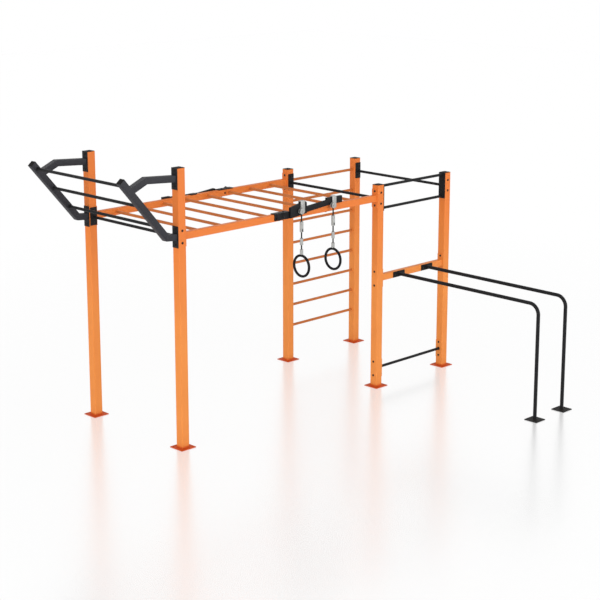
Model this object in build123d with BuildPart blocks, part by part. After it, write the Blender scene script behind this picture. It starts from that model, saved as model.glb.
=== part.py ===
from build123d import *

import os
from math import hypot

# Outdoor fitness station.
#
# Six square posts carry an overhead ladder, wall bars, pull-up bars, a pair of parallel dip bars,
# an inclined grip ladder on two bent arms and a pair of rings on jointed hangers.
#
# +X runs along the ladder from the tall posts to the short ones, +Y from front to back and +Z up.
# The origin is in the middle of the footprint, on the ground. All sizes are in millimetres.

os.makedirs("parts", exist_ok=True)

# Post grid, between post centres
ladder_length = 3083
bay_length = 1229
frame_width = 1538

# Posts
short_height = 2503
tall_rise = 572
post_side = 100
post_wall = 4
post_corner = 8
base_side = 200
base_thickness = 8
anchor_spacing = 150
anchor_hole_diameter = 14
cap_thickness = 7
cap_plug_depth = 12
cap_clearance = 0.3

# Heights of the horizontal members, at their centre lines, the ladder's from the short posts' tops
ladder_drop = 165
cross_level = 1354
low_level = 228

# Beams
beam_height = 80
beam_depth = 60
beam_wall = 3
beam_corner = 6

# Round bars
bar_diameter = 33.7
bar_wall = 3.2
rung_count = 8
wall_bar_count = 8
wall_bar_spacing = 271.5
wall_bar_rise = 12
pull_up_drop = 8
double_bar_spacing = 270

# Bolted end plates, with the margins beyond their bolts or bars
plate_thickness = 8
plate_width = 90
beam_bolt_spacing = 172
bolt_crossing_offset = 20
beam_plate_margin = 24
bar_plate_margin = 36.5
double_plate_margin = 26
double_plate_width = 98

# Through bolts
bolt_diameter = 12
bolt_hole_diameter = 13
head_diameter = 28
head_height = 8
head_taper_angle = 35
nut_width = 22
nut_height = 10
nut_clearance = 0.2
thread_overhang_length = 5

# Dip bars
dip_spacing = 517
dip_diameter = 42.4
dip_wall = 3.2
dip_reach = 2132
dip_bend_radius = 122
dip_foot_side = 170
dip_foot_thickness = 8
dip_anchor_spacing = 130
dip_plate_length = 205
dip_plate_height = 70
dip_plate_bolt_spacing = 150

# Inclined grip ladder, measured outwards from the left post centres and up from its plates
arm_side = 70
arm_wall = 3
arm_plate_margin = 30
arm_bend_out = 186
arm_bend_rise = 12
arm_tip_out = 761
arm_tip_rise = 56
arm_knee_out = 446
arm_knee_rise = 29
arm_joint_share = 0.821
arm_plug_thickness = 3
arm_plug_depth = 18
grip_count = 3
grip_setback = 77
grip_spacing = 309

# Ring carriers, measured along the beam from a ladder rung and out from the beam centre
carrier_front_rung = 4
carrier_back_rung = 6
carrier_front_setback = 22
carrier_back_advance = 70
carrier_depth = 32
clamp_length = 225
clamp_wall = 10
clamp_drop = 70
clamp_clearance = 0.3
clamp_stud_start = 165
lug_length = 50
lug_start = 21
lug_bolt_setback = 30
cross_bolt_start = 135
housing_length = 256
housing_radius = 28
arm_length = 573
rail_height = 62
stop_length = 80
stop_start = 324
stop_rise = 24
end_block_length = 108
end_block_height = 78
seat_thickness = 12
seat_length = 50
pad_start = 97
pad_length = 85
carrier_bolt_diameter = 12
carrier_head_width = 22
carrier_head_height = 9
carrier_hole_clearance = 0.5

# Edges of each carrier's housing and slanted arm, up or down from the beam's centre line
front_housing_start_drop = 28
front_housing_end_drop = 1
front_housing_start_rise = 92
front_housing_end_rise = 145
front_rail_start_rise = 11
front_rail_end_rise = 62
back_housing_drop = 36
back_housing_start_rise = 66
back_housing_end_rise = 42
back_rail_start_drop = 22
back_rail_end_drop = 10

# Rings and their hangers, measured along the carrier, out from the beam centre and down the rods
ring_first_place = 371
ring_spacing = 510
hang_out = 86
ring_outer_diameter = 270
ring_bar_diameter = 30
strap_width = 64
strap_thickness = 6
strap_offset = 40
strap_left_rise = 150
strap_right_rise = 138
strap_drop = 135
strap_foot_depth = 44
strap_screw_diameter = 8
strap_screw_head_diameter = 14
strap_screw_head_height = 5
boss_radius = 33
boss_rise = 38
fork_slot_width = 18
fork_clearance = 0.5
fork_slot_clearance = 2
pin_diameter = 12
pin_clearance = 0.1
pin_head_diameter = 20
pin_head_height = 4
eye_radius = 15
hanger_rod_diameter = 16
upper_rod_length = 118
upper_sleeve_length = 120
upper_sleeve_diameter = 42
fork_pin_rise = 19
fork_pin_inset = 1
middle_rod_length = 89
lower_sleeve_length = 80
lower_sleeve_diameter = 38
lower_rod_length = 50
sleeve_chamfer = 3
swivel_room_height = 26
swivel_floor_thickness = 14
swivel_head_diameter = 26
swivel_head_height = 8
swivel_clearance = 0.3
ring_clamp_length = 61
ring_clamp_lip_depth = 3
ring_clamp_diameter = 38
ring_clamp_clearance = 0.2

# Levels and plate sizes that follow from the sizes above
tall_height = short_height + tall_rise
upper_level = short_height - ladder_drop
beam_plate_height = beam_bolt_spacing + 2 * beam_plate_margin
arm_plate_height = beam_bolt_spacing + 2 * arm_plate_margin
bar_bolt_spacing = beam_bolt_spacing - 2 * bolt_crossing_offset
bar_plate_height = bar_bolt_spacing + 2 * bar_plate_margin
double_plate_height = double_bar_spacing + 2 * double_plate_margin
arm_top_level = tall_height - arm_plate_height / 2
arm_knee_height = arm_top_level + arm_knee_rise
arm_tip_height = arm_top_level + arm_tip_rise

# Widest reach of the inclined ladder beyond the left posts
arm_bend_height = upper_level + arm_bend_rise
arm_run = arm_tip_out - arm_bend_out
arm_climb = arm_tip_height - arm_bend_height
arm_slope_length = hypot(arm_run, arm_climb)
slope_out = arm_run / arm_slope_length
slope_up = arm_climb / arm_slope_length
arm_reach = arm_tip_out + arm_plug_thickness * slope_out + arm_side / 2 * slope_up

# Post centres
total_length = arm_reach + ladder_length + bay_length + base_side / 2
total_width = dip_reach + dip_foot_side / 2 + frame_width + base_side / 2
left_x = arm_reach - total_length / 2
middle_x = left_x + ladder_length
right_x = middle_x + bay_length
front_y = dip_reach + dip_foot_side / 2 - total_width / 2
back_y = front_y + frame_width

post_half = post_side / 2
beam_half = beam_depth / 2
beam_top = upper_level + beam_height / 2
beam_bottom = upper_level - beam_height / 2
along_x = Vector(1, 0, 0)
along_y = Vector(0, 1, 0)
upwards = Vector(0, 0, 1)


def write(piece, name):
    """Labels a finished piece and writes it to its own file."""
    piece.part.label = name
    export_step(piece.part, f"parts/{name}.step")


def facing(point, outward):
    """A vertical plane at a point, looking outward, with its second axis pointing up."""
    return Plane(origin=point, x_dir=upwards.cross(outward), z_dir=outward)


def square_tube_section(width, height, wall, corner):
    """A hollow rectangular section with rounded corners."""
    RectangleRounded(width, height, corner)
    RectangleRounded(width - 2 * wall, height - 2 * wall, corner - wall, mode=Mode.SUBTRACT)


def round_tube_section(diameter, wall):
    """A hollow round section."""
    Circle(diameter / 2)
    Circle(diameter / 2 - wall, mode=Mode.SUBTRACT)


# Posts: square tubes on welded base plates with four anchor holes, drilled for the through bolts
post_places = {
    "post_left_front": (left_x, front_y, tall_height),
    "post_left_back": (left_x, back_y, tall_height),
    "post_middle_front": (middle_x, front_y, short_height),
    "post_middle_back": (middle_x, back_y, short_height),
    "post_right_front": (right_x, front_y, short_height),
    "post_right_back": (right_x, back_y, short_height),
}
lengthwise_levels = {
    "post_left_front": (upper_level, arm_top_level),
    "post_left_back": (upper_level, arm_top_level),
    "post_middle_front": (upper_level, cross_level, low_level),
    "post_middle_back": (upper_level,),
    "post_right_front": (upper_level, cross_level, low_level),
    "post_right_back": (),
}

for name, (x, y, height) in post_places.items():
    with BuildPart() as post:
        with BuildSketch(Plane(origin=(x, y, 0))):
            Rectangle(base_side, base_side)
            with GridLocations(anchor_spacing, anchor_spacing, 2, 2):
                Circle(anchor_hole_diameter / 2, mode=Mode.SUBTRACT)
        extrude(amount=base_thickness)
        with BuildSketch(Plane(origin=(x, y, base_thickness))):
            square_tube_section(post_side, post_side, post_wall, post_corner)
        extrude(amount=height - cap_thickness - base_thickness)
        for level in lengthwise_levels[name]:
            with BuildSketch(facing((x, y, level), along_x)):
                with GridLocations(bolt_hole_diameter, beam_bolt_spacing, 1, 2):
                    Circle(bolt_hole_diameter / 2)
            extrude(amount=post_side, both=True, mode=Mode.SUBTRACT)
        with BuildSketch(facing((x, y, upper_level), along_y)):
            with GridLocations(bolt_hole_diameter, bar_bolt_spacing, 1, 2):
                Circle(bolt_hole_diameter / 2)
        extrude(amount=post_side, both=True, mode=Mode.SUBTRACT)
    write(post, name)

# Post caps: flat covers with a plug that fits inside the tube
plug_side = post_side - 2 * post_wall - 2 * cap_clearance
with BuildPart() as post_caps:
    for x, y, height in post_places.values():
        with BuildSketch(Plane(origin=(x, y, height - cap_thickness))):
            RectangleRounded(post_side, post_side, post_corner)
        extrude(amount=cap_thickness)
        with BuildSketch(Plane(origin=(x, y, height - cap_thickness))):
            RectangleRounded(plug_side, plug_side, post_corner - post_wall)
        extrude(amount=-cap_plug_depth)
write(post_caps, "post_caps")


def bridge(name, start, along, span, levels, section, plate_level, plate_size, bolt_spacing, cuts=()):
    """Writes one or two bars between two post faces, with a bolted plate welded on each end."""
    base = Vector(*start)
    with BuildPart() as member:
        for level in levels:
            with BuildSketch(facing(base + along * plate_thickness + upwards * level, along)):
                section()
            extrude(amount=span - 2 * plate_thickness)
        for offset in (0, span - plate_thickness):
            with BuildSketch(facing(base + along * offset + upwards * plate_level, along)):
                Rectangle(*plate_size)
                with GridLocations(bolt_hole_diameter, bolt_spacing, 1, 2):
                    Circle(bolt_hole_diameter / 2, mode=Mode.SUBTRACT)
            extrude(amount=plate_thickness)
        for plane, radius in cuts:
            with BuildSketch(plane):
                Circle(radius)
            extrude(amount=beam_height, both=True, mode=Mode.SUBTRACT)
    write(member, name)


def beam_section():
    """The rectangular beam."""
    square_tube_section(beam_depth, beam_height, beam_wall, beam_corner)


def bar_section():
    """The round hand bar."""
    round_tube_section(bar_diameter, bar_wall)


beam_plate = (plate_width, beam_plate_height)
bar_plate = (plate_width, bar_plate_height)
double_plate = (double_plate_width, double_plate_height)
ladder_span = ladder_length - post_side
bay_span = bay_length - post_side
width_span = frame_width - post_side

# Ring carrier frames: one plane per carrier on the beam centre line, looking away from the ladder
rung_spacing = ladder_length / (rung_count + 1)
carrier_front_x = left_x + rung_spacing * carrier_front_rung - carrier_front_setback
carrier_back_x = left_x + rung_spacing * carrier_back_rung + carrier_back_advance
carrier_planes = {
    "front": Plane(origin=(carrier_front_x, front_y, 0), x_dir=(1, 0, 0), z_dir=(0, -1, 0)),
    "back": Plane(origin=(carrier_back_x, back_y, 0), x_dir=(-1, 0, 0), z_dir=(0, 1, 0)),
}
housing_start = clamp_length
rail_start = clamp_length + housing_length
stop_centre = rail_start + stop_start + stop_length / 2
carrier_hole_radius = carrier_bolt_diameter / 2 + carrier_hole_clearance
stud_places = (clamp_stud_start, stop_centre)
lug_place = lug_start + lug_bolt_setback


def carrier_cuts(side):
    """Holes in a ladder beam for the upright studs and the clamp's cross bolt."""
    cuts = []
    for place in stud_places:
        cuts.append((Plane(origin=side.from_local_coords((place, upper_level, 0))), carrier_hole_radius))
    cross = side.from_local_coords((cross_bolt_start, upper_level, 0))
    cuts.append((Plane(origin=cross, x_dir=side.x_dir, z_dir=side.z_dir), carrier_hole_radius))
    return cuts


# Ladder side beams
for side_name, y in (("front", front_y), ("back", back_y)):
    bridge(
        f"ladder_beam_{side_name}",
        (left_x + post_half, y, 0),
        along_x,
        ladder_span,
        (upper_level,),
        beam_section,
        upper_level,
        beam_plate,
        beam_bolt_spacing,
        carrier_cuts(carrier_planes[side_name]),
    )

# Ladder rungs: round tubes welded between the inner faces of the side beams
with BuildPart() as ladder_rungs:
    for index in range(rung_count):
        rung_x = left_x + rung_spacing * (index + 1)
        with BuildSketch(facing((rung_x, front_y + beam_half, upper_level), along_y)):
            bar_section()
        extrude(amount=frame_width - beam_depth)
write(ladder_rungs, "ladder_rungs")

# Wall bars: round tubes welded between the two short back posts, the top one at ladder height
with BuildPart() as wall_bars:
    for index in range(wall_bar_count):
        bar_z = upper_level + wall_bar_rise - wall_bar_spacing * index
        with BuildSketch(facing((middle_x + post_half, back_y, bar_z), along_x)):
            bar_section()
        extrude(amount=bay_span)
write(wall_bars, "wall_bars")

# Pull-up bars from front to back
pull_up_places = {
    "pull_up_bar_left": left_x,
    "pull_up_bar_middle": middle_x,
    "pull_up_bar_right": right_x,
}
for name, x in pull_up_places.items():
    bridge(
        name,
        (x, front_y + post_half, 0),
        along_y,
        width_span,
        (upper_level - pull_up_drop,),
        bar_section,
        upper_level,
        bar_plate,
        bar_bolt_spacing,
    )

# Double pull-up bar of the bay, on two tall plates
bridge(
    "double_pull_up_bar",
    (middle_x + post_half, front_y, 0),
    along_x,
    bay_span,
    (upper_level - double_bar_spacing / 2, upper_level + double_bar_spacing / 2),
    bar_section,
    upper_level,
    double_plate,
    beam_bolt_spacing,
)

# Dip bars stand symmetrically in the bay
bay_centre_x = (middle_x + right_x) / 2
dip_places = {
    "left": bay_centre_x - dip_spacing / 2,
    "right": bay_centre_x + dip_spacing / 2,
}

# Crossbeam of the bay, drilled for the bolts of the dip plates
dip_cuts = []
for x in dip_places.values():
    for shift in (-dip_plate_bolt_spacing / 2, dip_plate_bolt_spacing / 2):
        dip_cuts.append((facing((x + shift, front_y, cross_level), along_y), bolt_hole_diameter / 2))
bridge(
    "dip_crossbeam",
    (middle_x + post_half, front_y, 0),
    along_x,
    bay_span,
    (cross_level,),
    beam_section,
    cross_level,
    beam_plate,
    beam_bolt_spacing,
    dip_cuts,
)

# Low foot bar of the bay, between two orange plates
with BuildPart() as foot_bar_plates:
    for x, outward in ((middle_x + post_half, along_x), (right_x - post_half, -along_x)):
        with BuildSketch(facing((x, front_y, low_level), outward)):
            Rectangle(*beam_plate)
            with GridLocations(bolt_hole_diameter, beam_bolt_spacing, 1, 2):
                Circle(bolt_hole_diameter / 2, mode=Mode.SUBTRACT)
        extrude(amount=plate_thickness)
write(foot_bar_plates, "foot_bar_plates")

with BuildPart() as low_foot_bar:
    with BuildSketch(facing((middle_x + post_half + plate_thickness, front_y, low_level), along_x)):
        bar_section()
    extrude(amount=bay_span - 2 * plate_thickness)
write(low_foot_bar, "low_foot_bar")

# Dip plates: bolted to the front of the crossbeam, one for each dip bar
for side_name, x in dip_places.items():
    with BuildPart() as dip_plate:
        with BuildSketch(facing((x, front_y - beam_half, cross_level), -along_y)):
            Rectangle(dip_plate_length, dip_plate_height)
            with GridLocations(dip_plate_bolt_spacing, bolt_hole_diameter, 2, 1):
                Circle(bolt_hole_diameter / 2, mode=Mode.SUBTRACT)
        extrude(amount=plate_thickness)
    write(dip_plate, f"dip_plate_{side_name}")

# Dip bars: one bent tube each, from its plate out and down to a foot plate with four anchor holes
dip_start_y = front_y - beam_half - plate_thickness
dip_leg_y = front_y - dip_reach
for side_name, x in dip_places.items():
    with BuildPart() as dip_bar:
        with BuildLine() as dip_path:
            FilletPolyline(
                (x, dip_start_y, cross_level),
                (x, dip_leg_y, cross_level),
                (x, dip_leg_y, dip_foot_thickness),
                radius=dip_bend_radius,
            )
        with BuildSketch(facing((x, dip_start_y, cross_level), -along_y)):
            round_tube_section(dip_diameter, dip_wall)
        sweep(path=dip_path.wire())
        with BuildSketch(Plane(origin=(x, dip_leg_y, 0))):
            Rectangle(dip_foot_side, dip_foot_side)
            with GridLocations(dip_anchor_spacing, dip_anchor_spacing, 2, 2):
                Circle(anchor_hole_diameter / 2, mode=Mode.SUBTRACT)
        extrude(amount=dip_foot_thickness)
    write(dip_bar, f"dip_bar_{side_name}")

# Bolts of the dip plates: a head in front of the plate and a nut behind the crossbeam
with BuildPart() as dip_plate_bolts:
    for x in dip_places.values():
        with BuildSketch(facing((x, dip_start_y, cross_level), -along_y)):
            with GridLocations(dip_plate_bolt_spacing, bolt_hole_diameter, 2, 1):
                Circle(head_diameter / 2)
        extrude(amount=head_height, taper=head_taper_angle)
        with BuildSketch(facing((x, dip_start_y, cross_level), along_y)):
            with GridLocations(dip_plate_bolt_spacing, bolt_hole_diameter, 2, 1):
                Circle(bolt_diameter / 2)
        extrude(amount=plate_thickness + beam_depth + nut_height + thread_overhang_length)
write(dip_plate_bolts, "dip_plate_bolts")

with BuildPart() as dip_plate_nuts:
    for x in dip_places.values():
        with BuildSketch(facing((x, front_y + beam_half, cross_level), along_y)):
            with GridLocations(dip_plate_bolt_spacing, bolt_hole_diameter, 2, 1):
                RegularPolygon(nut_width / 2, 6)
                Circle(bolt_diameter / 2 + nut_clearance, mode=Mode.SUBTRACT)
        extrude(amount=nut_height)
write(dip_plate_nuts, "dip_plate_nuts")

# Inclined grip ladder arms: two mitred square tubes welded together and to two post plates
arm_start = post_half + plate_thickness
arm_joint_out = arm_bend_out + arm_run * arm_joint_share
arm_joint_height = arm_bend_height + arm_climb * arm_joint_share
slanted_route = (
    (arm_start, upper_level),
    (arm_bend_out, arm_bend_height),
    (arm_tip_out, arm_tip_height),
)
upper_route = (
    (arm_start, arm_top_level),
    (arm_knee_out, arm_knee_height),
    (arm_joint_out, arm_joint_height),
)
for side_name, y in (("front", front_y), ("back", back_y)):
    arm_plane = Plane(origin=(left_x, y, 0), x_dir=(-1, 0, 0), z_dir=(0, 1, 0))
    with BuildPart() as grip_arm:
        for width, mode in ((arm_side, Mode.ADD), (arm_side - 2 * arm_wall, Mode.SUBTRACT)):
            with BuildSketch(arm_plane):
                for route in (slanted_route, upper_route):
                    with BuildLine():
                        Polyline(*route)
                    trace(line_width=width)
            extrude(amount=width / 2, both=True, mode=mode)
        for level in (upper_level, arm_top_level):
            with BuildSketch(facing((left_x - post_half, y, level), -along_x)):
                Rectangle(plate_width, arm_plate_height)
                with GridLocations(bolt_hole_diameter, beam_bolt_spacing, 1, 2):
                    Circle(bolt_hole_diameter / 2, mode=Mode.SUBTRACT)
            extrude(amount=plate_thickness)
    write(grip_arm, f"grip_arm_{side_name}")

# Plugs in the open upper ends of the arms
arm_plug_side = arm_side - 2 * arm_wall - 2 * cap_clearance
with BuildPart() as arm_plugs:
    for y in (front_y, back_y):
        tip = Plane(
            origin=(left_x - arm_tip_out, y, arm_tip_height),
            x_dir=(0, 1, 0),
            z_dir=(-slope_out, 0, slope_up),
        )
        with BuildSketch(tip):
            Rectangle(arm_side, arm_side)
        extrude(amount=arm_plug_thickness)
        with BuildSketch(tip):
            Rectangle(arm_plug_side, arm_plug_side)
        extrude(amount=-arm_plug_depth)
write(arm_plugs, "arm_plugs")

# Grip rods: round tubes welded between the inner faces of the arms, evenly spaced down the slope
for index in range(grip_count):
    down = grip_setback + grip_spacing * index
    rod_x = left_x - arm_tip_out + slope_out * down
    rod_z = arm_tip_height - slope_up * down
    with BuildPart() as grip_rod:
        with BuildSketch(facing((rod_x, front_y + arm_side / 2, rod_z), along_y)):
            bar_section()
        extrude(amount=frame_width - arm_side)
    write(grip_rod, f"grip_rod_{index + 1}")

# Ring carriers: a clamp over the beam, a tall housing and a slanted arm in front of the beam
front_face = beam_half + clamp_clearance
clamp_face = front_face + clamp_wall
carrier_face = front_face + carrier_depth
clamp_top = beam_top + clamp_clearance + clamp_wall
wall_low = clamp_top - clamp_wall - clamp_drop
seat_top = beam_top + clamp_clearance + seat_thickness
rail_end = rail_start + arm_length
lug_out = (clamp_face + carrier_face) / 2
housing_edges = {
    "front": (
        (-front_housing_start_drop, -front_housing_end_drop),
        (front_housing_start_rise, front_housing_end_rise),
    ),
    "back": (
        (-back_housing_drop, -back_housing_drop),
        (back_housing_start_rise, back_housing_end_rise),
    ),
}
rail_edges = {
    "front": (front_rail_start_rise, front_rail_end_rise),
    "back": (-back_rail_start_drop, -back_rail_end_drop),
}


def on_rail(place, edge):
    """Height of the slanted arm's lower edge at a place along the carrier."""
    return upper_level + edge[0] + (edge[1] - edge[0]) * (place - rail_start) / arm_length


for side_name, side in carrier_planes.items():
    with BuildPart() as carrier_clamp:
        for near, deep, low in (
            (front_face, clamp_wall, wall_low),
            (-beam_half, beam_half + front_face, clamp_top - clamp_wall),
        ):
            with BuildSketch(side.offset(near)):
                with Locations((clamp_length / 2, (low + clamp_top) / 2)):
                    Rectangle(clamp_length, clamp_top - low)
            extrude(amount=deep)
        with BuildSketch(side.offset(clamp_face)):
            with Locations((lug_start + lug_length / 2, clamp_top - clamp_drop / 2)):
                Rectangle(lug_length, clamp_drop)
        extrude(amount=carrier_depth - clamp_wall)
        for hole in ((lug_place, clamp_top, lug_out), (clamp_stud_start, clamp_top, 0)):
            with BuildSketch(Plane(origin=side.from_local_coords(hole))):
                Circle(carrier_hole_radius)
            extrude(amount=-clamp_wall - clamp_drop, mode=Mode.SUBTRACT)
        with BuildSketch(side):
            with Locations((cross_bolt_start, upper_level)):
                Circle(carrier_hole_radius)
        extrude(amount=clamp_face, mode=Mode.SUBTRACT)
    write(carrier_clamp, f"carrier_clamp_{side_name}")

    bottoms, tops = housing_edges[side_name]
    with BuildPart() as carrier_housing:
        with BuildSketch(side.offset(front_face)):
            with BuildLine():
                outline = Polyline(
                    (housing_start, upper_level + bottoms[0]),
                    (rail_start, upper_level + bottoms[1]),
                    (rail_start, upper_level + tops[1]),
                    (housing_start, upper_level + tops[0]),
                    close=True,
                )
            make_face()
            far_corner = outline.vertices().sort_by(Axis((0, 0, 0), side.x_dir + upwards))[-1]
            fillet(far_corner, housing_radius)
        extrude(amount=carrier_depth)
    write(carrier_housing, f"carrier_housing_{side_name}")

    edge = rail_edges[side_name]
    with BuildPart() as carrier_arm:
        with BuildSketch(side.offset(front_face)):
            with BuildLine():
                Polyline(
                    (rail_start, on_rail(rail_start, edge)),
                    (rail_end, on_rail(rail_end, edge)),
                    (rail_end, on_rail(rail_end, edge) + rail_height),
                    (rail_start, on_rail(rail_start, edge) + rail_height),
                    close=True,
                )
            make_face()
            with Locations((stop_centre, on_rail(stop_centre, edge) + (rail_height + stop_rise) / 2)):
                Rectangle(stop_length, rail_height + stop_rise)
            block_centre = rail_end - end_block_length / 2
            with Locations((block_centre, on_rail(block_centre, edge) + rail_height / 2)):
                Rectangle(end_block_length, end_block_height)
        extrude(amount=carrier_depth)
        with BuildSketch(side.offset(-beam_half)):
            with Locations((stop_centre, seat_top - seat_thickness / 2)):
                Rectangle(seat_length, seat_thickness)
            with Locations((rail_start + pad_start + pad_length / 2, seat_top - seat_thickness / 2)):
                Rectangle(pad_length, seat_thickness)
        extrude(amount=beam_half + front_face)
        with BuildSketch(Plane(origin=side.from_local_coords((stop_centre, seat_top, 0)))):
            Circle(carrier_hole_radius)
        extrude(amount=-seat_thickness, mode=Mode.SUBTRACT)
    write(carrier_arm, f"carrier_arm_{side_name}")

# Carrier bolts: upright studs through the beams, a bolt in each lug and a cross bolt in each clamp
with BuildPart() as carrier_bolts:
    for side in carrier_planes.values():
        for place, out, top, bottom in (
            (clamp_stud_start, 0, clamp_top, beam_bottom),
            (stop_centre, 0, seat_top, beam_bottom),
            (lug_place, lug_out, clamp_top, clamp_top - clamp_drop),
        ):
            upper_end = Plane(origin=side.from_local_coords((place, top, out)))
            lower_end = Plane(origin=side.from_local_coords((place, bottom, out)))
            with BuildSketch(upper_end):
                RegularPolygon(carrier_head_width / 2, 6)
            extrude(amount=carrier_head_height)
            with BuildSketch(upper_end):
                Circle(carrier_bolt_diameter / 2)
            extrude(amount=bottom - top)
            with BuildSketch(lower_end):
                RegularPolygon(carrier_head_width / 2, 6)
            extrude(amount=-carrier_head_height)
        for out, reach in ((-beam_half, -carrier_head_height), (clamp_face, carrier_head_height)):
            with BuildSketch(side.offset(out)):
                with Locations((cross_bolt_start, upper_level)):
                    RegularPolygon(carrier_head_width / 2, 6)
            extrude(amount=reach)
        with BuildSketch(side.offset(-beam_half)):
            with Locations((cross_bolt_start, upper_level)):
                Circle(carrier_bolt_diameter / 2)
        extrude(amount=beam_half + clamp_face)
write(carrier_bolts, "carrier_bolts")

# Ring hangers: everything below is placed on planes through the two hanging lines
front_side = carrier_planes["front"]
hang_places = {
    "left": ring_first_place,
    "right": ring_first_place + ring_spacing,
}
strap_front = carrier_face + strap_thickness
boss_depth = 2 * (hang_out - strap_front)
strap_back = beam_half - strap_thickness
foot_end = strap_back - strap_foot_depth
rod_radius = hanger_rod_diameter / 2
pin_radius = pin_diameter / 2
bore_radius = pin_radius + pin_clearance
eye_thickness = fork_slot_width - 2 * fork_clearance
hang_y = front_y - hang_out
fork_half_depth = eye_radius + fork_slot_clearance

# Levels down the hanging line
boss_level = upper_level + boss_rise
strap_tops = {
    "left": upper_level + strap_left_rise,
    "right": upper_level + strap_right_rise,
}
upper_sleeve_top = boss_level - upper_rod_length
upper_sleeve_bottom = upper_sleeve_top - upper_sleeve_length
fork_pin_level = upper_sleeve_bottom + fork_pin_rise
lower_sleeve_top = fork_pin_level - middle_rod_length
lower_sleeve_bottom = lower_sleeve_top - lower_sleeve_length
ring_clamp_top = lower_sleeve_bottom - lower_rod_length
ring_clamp_bottom = ring_clamp_top - ring_clamp_length
ring_radius = (ring_outer_diameter - ring_bar_diameter) / 2
ring_level = ring_clamp_bottom + ring_clamp_lip_depth - ring_outer_diameter / 2

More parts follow.
